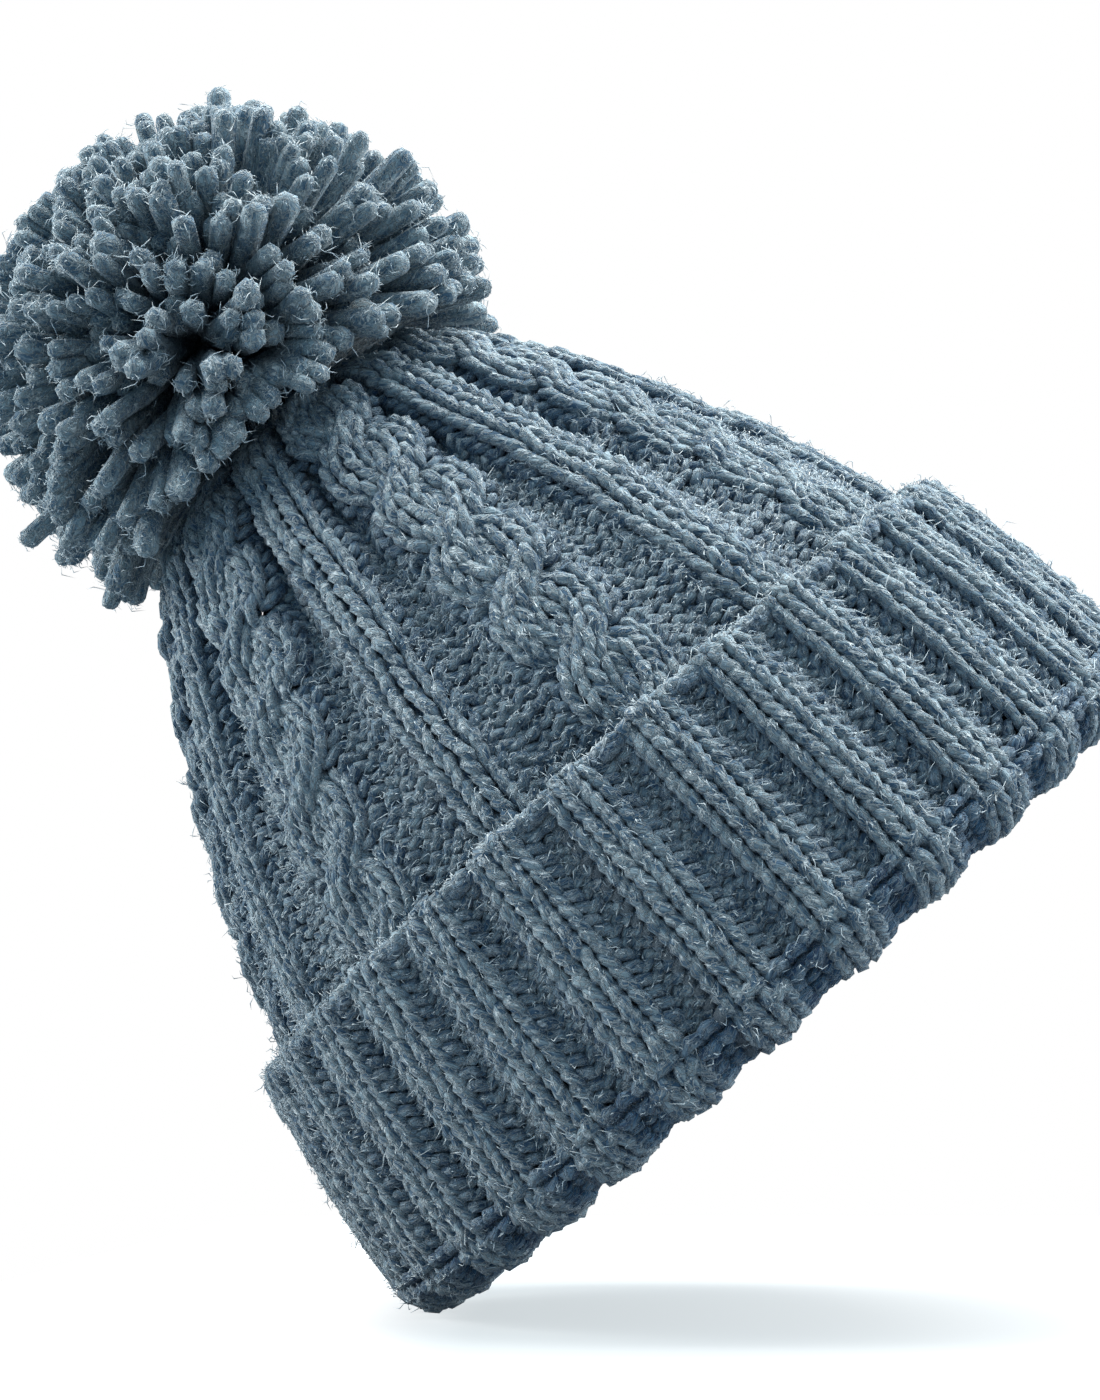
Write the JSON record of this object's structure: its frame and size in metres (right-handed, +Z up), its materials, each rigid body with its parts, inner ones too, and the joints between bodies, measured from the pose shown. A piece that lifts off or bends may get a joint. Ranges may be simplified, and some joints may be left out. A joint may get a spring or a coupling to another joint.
{
  "type": "pom pom beanie",
  "caption": "Knitted winter hat with a cabled crown, a ribbed turn-up cuff and a yarn pompom that tips and twists on its tie.",
  "frame": {"origin": "on the hat's axis, in the plane of the cuff's fold that the hat stands on", "axes": "+Z up along the hat's axis to the pompom, -Y towards the side seen in the picture, +Y to the seam at the centre back"},
  "size_m": [0.2056, 0.2056, 0.2455],
  "materials": {
    "crown_knit": "matt slate blue-grey chunky yarn, cable knit, slightly hairy",
    "cuff_knit": "matt slate blue-grey chunky yarn, two by two rib, slightly hairy",
    "pompom_yarn": "matt slate blue-grey yarn, cut ends, hairy",
    "sewing_yarn": "matt slate blue-grey yarn"
  },
  "bodies": {
    "hat": {"crown_shell": "crown_knit", "cuff_inner_ply": "cuff_knit", "cuff_fold": "cuff_knit", "cuff_outer_ply": "cuff_knit", "cast_on_edge": "cuff_knit", "back_seam": "sewing_yarn", "gather_yarn": "sewing_yarn"},
    "knot": {"tie_knot": "sewing_yarn"},
    "shank": {"tie_shank": "sewing_yarn"},
    "pompom": {"pompom_binding": "sewing_yarn", "pompom_left_fan": "pompom_yarn", "pompom_right_fan": "pompom_yarn"}
  },
  "joints": [
    {"name": "pompom_twist", "type": "hinge", "parent": "hat", "child": "knot", "pos_m": [0, 0, 0.164], "axis": [0, 0, 1], "range_deg": [-30, 30], "stiffness_Nm_per_rad": 0.02},
    {"name": "pompom_nod", "type": "hinge", "parent": "knot", "child": "shank", "pos_m": [0, 0, 0.164], "axis": [1, 0, 0], "range_deg": [-5, 5], "stiffness_Nm_per_rad": 0.15},
    {"name": "pompom_sway", "type": "hinge", "parent": "shank", "child": "pompom", "pos_m": [0, 0, 0.164], "axis": [0, 1, 0], "range_deg": [-5, 5], "stiffness_Nm_per_rad": 0.15}
  ]
}
